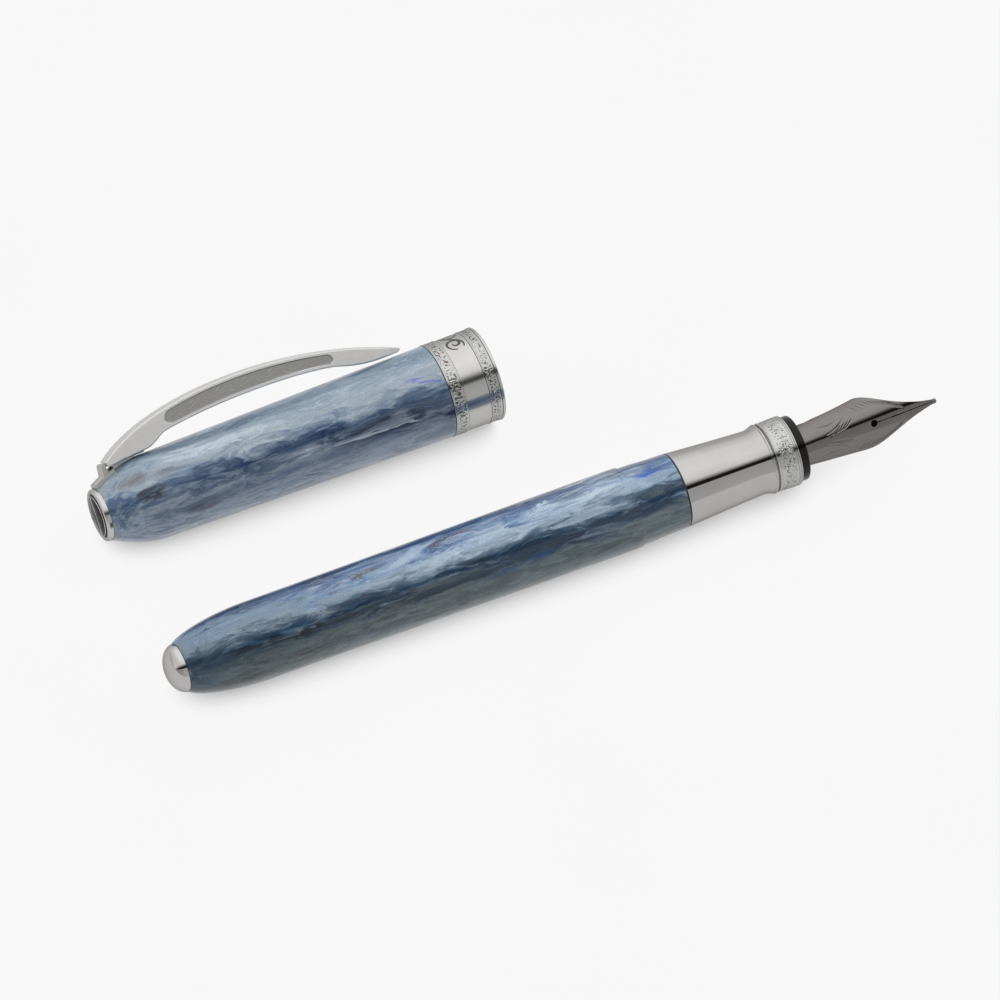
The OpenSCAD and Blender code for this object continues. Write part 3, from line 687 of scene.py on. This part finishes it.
def nib_mesh():
    """The nib's sheet as a fine grid, with its slit, breather hole and engraving sunk into it."""
    xs = np.array(spread(SHANK_IN, 0, 8)[:-1] + spread(0, NIB_LEN - 0.3, 250))
    # Across the sheet, columns stand closer together at its edges
    packing = math.pi / 2 * 0.55
    qs = np.sin(np.array(spread(-1, 1, 124)) * packing) / math.sin(packing)
    half = np.interp(xs, edge_x, edge_w)
    ahead = np.maximum(xs, 0)
    radius = SHANK_R + GROWTH * ahead
    middle = -DROOP * ahead
    reach = np.arcsin(np.minimum(half / (radius + 1e-6), 0.9999))
    reach = np.minimum(reach, SHANK_REACH - 0.25 * np.clip(ahead / 2.0, 0, 1))
    reach = np.where(xs < 0, SHANK_REACH, reach)
    psi = reach[:, None] * qs[None, :]
    side = radius[:, None] * np.sin(psi)
    gx = np.repeat(xs[:, None], len(qs), 1)
    sunk = np.zeros(gx.shape)
    tone = np.ones(gx.shape)
    # The engraved strokes are sunk, and their tone paints shade into them
    for stroke in barbs():
        d, along = nearest(gx, side, stroke)
        cut = np.clip(1.5 - d / CUT_HALF, 0, 1) * np.sin(np.pi * np.clip(along * 0.94 + 0.03, 0, 1)) ** 0.5
        sunk = np.maximum(sunk, CUT_DEPTH * cut)
        tone = np.minimum(tone, 1 - 0.7 * cut)
    # The slit and the breather hole are pits, not cuts through the sheet; a tone of 0 paints them dark, as painted
    # shade
    slit = (np.abs(side) < SLIT_HALF) & (gx > BREATHER_X)
    hole = np.hypot(gx - BREATHER_X, side) < BREATHER_R
    sunk = np.where(slit | hole, NIB_T - 0.05, sunk)
    tone = np.where(slit | hole, 0.0, tone)
    bevel = 0.06 * np.clip((np.abs(qs)[None, :] - 0.97) / 0.03, 0, 1) ** 2
    verts, relief = [], []
    for deep in (sunk + bevel, NIB_T):
        r = radius[:, None] - deep
        y, z = r * np.sin(psi), middle[:, None] + r * np.cos(psi)
        verts += list(zip((NIB_S + gx).ravel(), y.ravel(), z.ravel()))
        relief += list(tone.ravel())
    rows, cols = gx.shape
    faces, under = [], rows * cols
    for i in range(rows - 1):
        for k in range(cols - 1):
            a = i * cols + k
            face = (a, a + cols, a + cols + 1, a + 1)
            faces += [face, tuple(under + j for j in face[::-1])]
    rim = [i * cols for i in range(rows)] + [(rows - 1) * cols + k for k in range(1, cols)]
    rim += [i * cols + cols - 1 for i in range(rows - 2, -1, -1)] + [k for k in range(cols - 2, 0, -1)]
    faces += [(a, under + a, under + b, b) for a, b in zip(rim, rim[1:] + rim[:1])]
    return verts, faces, relief


nib_verts, nib_faces, nib_relief = nib_mesh()
add_piece("nib_leaf", nib_verts, nib_faces, nib_frame, "nib_unit", "nib_metal", relief=nib_relief,
          crease=50, replaces=["nib"])

# ---------------------------------------------------------------- cap
# Stations along the cap, from its closed end: the shoulder, the band's start, the ends of its rear and centre
# rings, and the lip
CAP_LEN, SHOULDER_U = 63.8, 8.5
BAND_U = CAP_LEN - 8.2
REAR_U, FRONT_U = BAND_U + 2.1, BAND_U + 5.9
LIP_U = FRONT_U + 1.8
HEAD_R, SHOULDER_R, MOUTH_OUT_R, LIP_R, MOUTH_R = 4.05, 6.62, 7.26, 7.4, 6.2
RING_OUT_R, RING_IN_R, CENTRE_R = 7.34, 6.92, 7.24
CROWN_U = 0.3  # where the resin starts, in front of the end ring


def shell_radius(u):
    if u < SHOULDER_U:
        return HEAD_R + (SHOULDER_R - HEAD_R) * math.sin(math.pi / 2 * u / SHOULDER_U)
    return SHOULDER_R + (MOUTH_OUT_R - SHOULDER_R) * (u - SHOULDER_U) / (BAND_U - SHOULDER_U)


shell_profile = [(3.85, CROWN_U)] + [(shell_radius(u), u) for u in spread(CROWN_U, SHOULDER_U, 30)]
shell_profile += [(shell_radius(u), u) for u in spread(SHOULDER_U, BAND_U - 0.08, 40)[1:]]
# Inside: the bore, the screw's hole and the end ring's seat
shell_profile += [(MOUTH_OUT_R - 0.07, BAND_U), (6.15, BAND_U), (6.15, 14)]
shell_profile += [(1.6, 14), (1.6, 3.6), (3.85, 3.6)]
turned("cap_tube", shell_profile, cap, "cap", "cap_resin", replaces=["cap_shell"])

# The dark line where the resin meets the band
SEAM_IN_R, SEAM_OUT_R = 7.1, 7.275
seam_profile = [(SEAM_IN_R, BAND_U - 0.1), (SEAM_OUT_R, BAND_U - 0.1)]
seam_profile += [(SEAM_OUT_R, BAND_U + 0.01), (SEAM_IN_R, BAND_U + 0.01)]
turned("band_seam", seam_profile, cap, "cap", "dark_rubber")

SLEEVE_R = RING_IN_R - GAP
sleeve_profile = [(MOUTH_R, BAND_U + GAP), (SLEEVE_R, BAND_U + GAP), (SLEEVE_R, LIP_U), (LIP_R - 0.12, LIP_U)]
sleeve_profile += arc(LIP_R - 0.1, LIP_U + 0.12, 0.1, -80, 0, 5)
sleeve_profile += arc(LIP_R - 0.28, CAP_LEN - 0.28, 0.28, 0, 90, 10)
sleeve_profile += [(MOUTH_R + 0.2, CAP_LEN)] + arc(MOUTH_R + 0.2, CAP_LEN - 0.2, 0.2, 90, 180, 6)[1:]
turned("band_core", sleeve_profile, cap, "cap", "polished_steel", replaces=["cap_sleeve"])


def ring_profile(low, high):
    """A band's ring with a plain raised rim on each side of a fine field."""
    rim, field = 0.2, RING_OUT_R - 0.05
    points = [(RING_IN_R, low)] + arc(RING_OUT_R - 0.1, low + 0.1, 0.1, -90, 0, 4)
    points += [(RING_OUT_R, low + rim), (field, low + rim + 0.06)]
    points += [(field, u) for u in spread(low + rim + 0.08, high - rim - 0.08, 26)]
    points += [(field, high - rim - 0.06), (RING_OUT_R, high - rim)]
    return points + arc(RING_OUT_R - 0.1, high - 0.1, 0.1, 0, 90, 4) + [(RING_IN_R, high)]


for name, low, high, node, seed in (
    ("band_rear", BAND_U + GAP, REAR_U, "band_ring_rear", 1.7),
    ("band_front", FRONT_U, LIP_U - GAP, "band_ring_front", 5.3),
):
    band_marks = textured(pit_marks, low + 0.26, high - 0.26, edge=0.12, least_radius=7, depth=0.05,
                          level_at=0.8, darkness=0.9, scale=3.3, seed=seed)
    turned(name, ring_profile(low, high), cap, "cap", "polished_steel", finish="textured_steel", segments=560,
           height=band_marks, replaces=[node])

centre_profile = [(RING_IN_R, REAR_U + GAP)] + arc(CENTRE_R - 0.06, REAR_U + 0.08, 0.06, -90, 0, 4)
centre_profile += [(CENTRE_R, u) for u in spread(REAR_U + 0.1, FRONT_U - 0.1, 8)]
centre_profile += arc(CENTRE_R - 0.06, FRONT_U - 0.08, 0.06, 0, 90, 4) + [(RING_IN_R, FRONT_U - GAP)]
turned("band_middle", centre_profile, cap, "cap", "polished_steel", replaces=["band_centre"])


def ribbon(name, strokes, lift, body, slot, surface, finish):
    """Narrow strips on the cap along strokes of (x, y, half width), laid on a surface and raised by lift."""
    verts, faces = [], []
    for stroke in strokes:
        pts = np.array([(x, y) for x, y, _ in stroke])
        tangent = np.gradient(pts, axis=0)
        tangent /= np.linalg.norm(tangent, axis=1)[:, None] + 1e-9
        start = len(verts)
        for (x, y, half), (tx, ty) in zip(stroke, tangent):
            for offset, level in ((-1, -GAP), (-0.8, lift), (0.8, lift), (1, -GAP)):
                verts.append(surface(x - ty * half * offset, y + tx * half * offset, level))
        for i in range(len(stroke) - 1):
            a, b = start + 4 * i, start + 4 * i + 4
            faces += [(a + k, a + k + 1, b + k + 1, b + k) for k in range(3)]
            faces.append((a + 3, a, b, b + 3))
        last = start + 4 * (len(stroke) - 1)
        faces += [(start + 3, start + 2, start + 1, start), (last, last + 1, last + 2, last + 3)]
    add_piece(name, verts, faces, cap, body, slot, finish=finish)


# The scroll's middle faces this way on the resting cap
scroll_out = cap.to_3x3().transposed() @ Vector((0, 0.47, 0.883))
SCROLL_ANGLE = math.atan2(scroll_out.z, scroll_out.y)
SCROLL_U = (REAR_U + FRONT_U) / 2


def on_band(x, y, level):
    """x along the cap and y round it, in millimetres, to a point on the band."""
    r = CENTRE_R + level
    angle = SCROLL_ANGLE + y / CENTRE_R
    return (SCROLL_U + x, r * math.cos(angle), r * math.sin(angle))


CURL_R, CURL_TURNS = 1.25, 1.3


def curl(cy, start):
    """A curl round (0, cy) that winds in from CURL_R, thin at both ends."""
    points = []
    for t in spread(0, 1, 40):
        a = start + CURL_TURNS * 2 * math.pi * t
        r = CURL_R * (1 - t) ** 0.8 + 0.16
        half = 0.06 + 0.21 * math.sin(math.pi * (0.08 + 0.88 * t))
        points.append((r * math.cos(a), cy + r * math.sin(a), half))
    return points


# One scroll of two curls and an S between them, and the same again on the far side
scrolls = []
for base in (0.0, math.pi * CENTRE_R):
    scrolls += [curl(base + 1.5, math.pi / 2), curl(base - 1.5, -math.pi / 2)]
    scrolls.append([(1.3 * math.sin(2.2 * t), base + 2.75 * t, 0.08 + 0.17 * (1 - t * t))
                    for t in spread(-1, 1, 30)])
ribbon("band_scroll", scrolls, 0.012, "cap", "polished_steel", on_band, "scroll_enamel")

END_HOLE_R = 3.4
end_ring_profile = [(END_HOLE_R, -0.45), (3.48, -0.56)]
end_ring_profile += bezier([(3.6, -0.62), (3.9, -0.66), (4.12, -0.45), (4.14, -0.1)], 10)
end_ring_profile += [(4.12, CROWN_U - GAP), (3.82, CROWN_U - GAP), (3.82, 3.58), (END_HOLE_R, 3.58)]
turned("end_ring", end_ring_profile, cap, "cap", "polished_steel", replaces=["cap_end_ring"])


DISC_R, DISC_EDGE_U, DISC_CROWN, DISC_LINE = 3.34, -0.5, 0.6, 0.06
disc_profile = [(DISC_R * math.sin(t), DISC_EDGE_U - DISC_CROWN * math.cos(t))
                for t in spread(0, math.pi / 2, 16)]
disc_profile += [(DISC_R, 1), (0, 1)]
turned("disc_face", disc_profile, cap, "end_disc", "end_disc_metal", replaces=["end_disc"])


def on_disc(x, y, level):
    """x and y across the disc to a point on its crowned face."""
    crown = DISC_CROWN * math.sqrt(max(0.0, 1 - (math.hypot(x, y) / DISC_R) ** 2))
    return (DISC_EDGE_U - crown - level, x, y)


# Two plain arcs that make a lens, inside a circle
lens = [[(1.15 * side * math.cos(math.pi / 2 * t), 3.05 * t, DISC_LINE + 0.05 * (1 - t * t))
         for t in spread(-1, 1, 30)] for side in (-1, 1)]
circle = [[(3.12 * math.cos(a), 3.12 * math.sin(a), DISC_LINE) for a in spread(0, 2 * math.pi, 90)]]
ribbon("disc_lines", lens + circle, 0.03, "end_disc", "end_disc_metal", on_disc, "polished_steel")

# ---------------------------------------------------------------- clip
CLIP_W, CLIP_PEAK, CLIP_TAPER = 3.4, 15.9, math.tan(math.radians(0.9))
TAPER_U = 12  # the taper starts here
PANEL = (13.7, 41.6)
PANEL_DEPTH, PANEL_MARGIN = 0.16, 0.62
# The bow's upper and lower outlines, as height over station
top_x, top_z = zip(*bezier([(2.9, 7.4), (11, CLIP_PEAK - 1.9), (34, CLIP_PEAK), (52.2, 8.2)], 120))
low_points = [(2.9, 6.66), (3.4, 6.48), (4.0, 6.57), (5.4, 6.77), (8.6, 7.02)]
low_points += bezier([(9.6, 7.08), (10.8, 7.2), (11.5, 7.9), (12.8, 8.55)], 16)
low_points += [q for q in bezier([(11.6, 8.4), (20, 10.1), (34, 10.3), (41.5, 8.9)], 60) if q[0] > 13.2]
low_points += bezier([(42, 8.75), (44, 8.1), (46, 7.62), (49.2, 7.58)], 16) + [(51.8, 7.62), (52.3, 7.95)]
low_x, low_z = zip(*low_points)


def clip_half(u):
    return CLIP_W / 2 - max(0.0, (u - TAPER_U) * CLIP_TAPER)


def clip_mesh():
    """Rounded sections along the bow. The panel on each flank is sunk, and a shallow groove runs underneath,
    which is the deep slot round the bracket's lug at the root."""
    stations = sorted(set(spread(2.92, 11, 36) + spread(11, 44, 230) + spread(44, 52.22, 50)))
    verts, faces, tone = [], [], []
    for u in stations:
        top, low = float(np.interp(u, top_x, top_z)), float(np.interp(u, low_x, low_z))
        top = max(top, low + 0.12)
        half = clip_half(u) * (1 - 0.75 * smooth((u - 46) / 6.3) ** 1.3)
        edge = min(0.32, (top - low) * 0.3, half * 0.4)
        # The slot's roof is high over the lug, and just above the underside beyond it
        slot_half = 0.85 if u < 10.6 else 0.12
        lug_top = min(top - 0.5, 9.3 - 0.55 * max(0.0, u - 7.4))
        roof = low + GAP + smooth((10.3 - u) / 0.5) * max(0.0, lug_top - low - GAP)
        section = []
        span = top - low - 2 * edge
        mid = (top + low) / 2
        for side in (1, -1):
            # A flank from the bottom up
            flank = [(side * (half - edge * (1 - math.sin(a))), low + edge * (1 - math.cos(a)), 0.0)
                     for a in spread(0, math.pi / 2, 4)[:-1]]
            for t in spread(0, 1, 26):
                z = low + edge + span * t
                # A long panel with round ends, inside the flank's outline
                room = (top - low) / 2 - PANEL_MARGIN
                ends = max(PANEL[0] + room - u, u - PANEL[1] + room, 0.0)
                inside = room - math.hypot(ends, z - mid) if ends > 0 else room - abs(z - mid)
                sunk = smooth(inside / 0.12)
                # The dark line round the panel is painted shade along its edge
                line = smooth(1 - abs(inside - 0.06) / 0.1)
                flank.append((side * (half - PANEL_DEPTH * sunk), z, max(0.6 * sunk, line)))
            # The top edge gets a shade of 0.3: painted shade that dims its reflection
            flank += [(side * (half - edge * (1 - math.sin(a))), top - edge * (1 - math.cos(a)), 0.3)
                      for a in spread(math.pi / 2, 0, 4)[1:]]
            section.append(flank)
        loop = section[0] + section[1][::-1]
        loop += [(-slot_half, low, 0.0), (-slot_half, roof, 0.0)]
        loop += [(slot_half, roof, 0.0), (slot_half, low, 0.0)]
        count = len(loop)
        for y, z, shade in loop:
            verts.append((u, y, z))
            tone.append(1 - shade)
    for start in range(0, len(verts) - count, count):
        for k in range(count):
            j = (k + 1) % count
            faces.append((start + k, start + j, start + count + j, start + count + k))
    faces += [tuple(range(count))[::-1], tuple(range(len(verts) - count, len(verts)))]
    return verts, faces, tone


clip_verts, clip_faces, clip_tone = clip_mesh()
add_piece("clip_bow", clip_verts, clip_faces, cap, "clip", "satin_steel", finish="clip_satin", relief=clip_tone,
          crease=40, replaces=["clip"])


def on_flank(side):
    """x along the clip and y up from the panel's middle, on one flank."""

    def surface(x, y, level):
        mid = float(np.interp(x, top_x, top_z) + np.interp(x, low_x, low_z)) / 2
        return (x, side * (clip_half(x) - PANEL_DEPTH + level), mid + y)

    return surface


# A plain ornament in the panel: a wavy line with a small leaf at each turn
VINE_START, VINE_END, VINE_WAVE = 14.5, 36.5, 4.4
vine = [[(x, 0.34 * math.sin((x - VINE_START) * 2 * math.pi / VINE_WAVE), 0.07)
         for x in spread(VINE_START, VINE_END, 150)]]
for i in range(9):
    leaf_u = VINE_START + 1.45 + VINE_WAVE / 2 * i
    up = -1 if i % 2 == 0 else 1
    vine.append([(leaf_u + 0.75 * t, up * (0.15 + 0.42 * math.sin(math.pi / 2 * t)),
                  0.03 + 0.13 * math.sin(math.pi * t)) for t in spread(0, 1, 10)])
for vine_name, side in (("clip_vine_left", 1), ("clip_vine_right", -1)):
    ribbon(vine_name, vine, 0.03, "clip", "satin_steel", on_flank(side), "satin_steel")

# ---------------------------------------------------------------- the CAD nodes that stay
slot_of = {row["node"]: row["material_slot"] for row in frame["record"]["subparts"]}
for name, obj in frame["nodes"].items():
    obj.data.materials.clear()
    obj.data.materials.append(materials[slot_of[name]])


# ---------------------------------------------------------------- floor and light
FLOOR_RGB, FLOOR_GLOW, FLOOR_REACH = [52, 52, 52], 0.9, 20.0
SHADOW_REACH, SHADOW_DEPTH = 13 * MM, 0.88
SKY_STRENGTH = 1.7


def floor():
    """A plain pale floor, large enough for every view."""
    made, n = material("floor")
    fine = n.noise(n.place(), scale=0.02, detail=2)
    # A painted shadow in the floor's glow, kept close to the pieces: how much of the sky they hide within a few
    # millimetres
    near = n.add("ShaderNodeAmbientOcclusion", samples=24)
    n.put(near.inputs["Distance"], SHADOW_REACH)
    hidden = n.math("POWER", n.span(near.outputs["AO"], 0.64, 0.0, smooth=False), 1.6)
    open_sky = n.math("SUBTRACT", 1.0, n.math("MULTIPLY", hidden, SHADOW_DEPTH))
    light = n.product(open_sky, n.span(fine, 0.3, 0.7, 0.995, 1.005, smooth=False), FLOOR_GLOW)
    n.surface(
        Base_Color=srgb(*FLOOR_RGB),
        Roughness=0.9,
        Specular_IOR_Level=0.0,
        Emission_Color=(1, 1, 1, 1),
        Emission_Strength=light,
    )
    mesh = bpy.data.meshes.new("floor")
    # One wide triangle, so that no edge crosses it
    far = 3 * FLOOR_REACH
    corners = [(-FLOOR_REACH, -FLOOR_REACH, 0), (far, -FLOOR_REACH, 0), (-FLOOR_REACH, far, 0)]
    mesh.from_pydata(corners, [], [(0, 1, 2)])
    mesh.materials.append(made)
    obj = bpy.data.objects.new("floor", mesh)
    bpy.context.scene.collection.objects.link(obj)
    obj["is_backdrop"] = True


def studio():
    """Soft light from a wide ceiling, with a narrow dark gap towards the front and a greyer front wall."""
    world = bpy.data.worlds.new("studio")
    bpy.context.scene.world = world
    world.use_nodes = True
    n = Nodes(world.node_tree)
    direction = n.add("ShaderNodeTexCoord").outputs["Generated"]
    rise = n.vector("DOT_PRODUCT", direction, (0, 0, 1))
    front = n.vector("DOT_PRODUCT", direction, (0, -1, 0))
    # 0 is the front horizon, 0.5 the zenith and 1 the rear horizon
    turn = n.math("DIVIDE", n.math("ARCTAN2", rise, front), math.pi)
    level = n.ramp(turn, [(place, (value, value, value, 1)) for place, value in (
        (0.0, 0.42), (0.10, 0.39), (0.235, 0.37), (0.243, 0.01), (0.295, 0.01),
        (0.37, 0.74), (0.5, 0.86), (0.75, 0.82), (0.9, 0.66), (1.0, 0.5),
    )])
    # The end that the tails point to is darker
    end = n.span(n.vector("DOT_PRODUCT", direction, (-1, 0, 0)), 0.35, 0.8, 1.0, 0.75)
    back = n.add("ShaderNodeBackground")
    n.put(back.inputs["Color"], n.mix(end, (0, 0, 0, 1), level))
    n.put(back.inputs["Strength"], SKY_STRENGTH)
    out = n.add("ShaderNodeOutputWorld")
    n.put(out.inputs["Surface"], back.outputs[0])


floor()
studio()

low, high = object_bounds()
{"cad": [list(cad_low), list(cad_high)], "visual": [list(low), list(high)]}
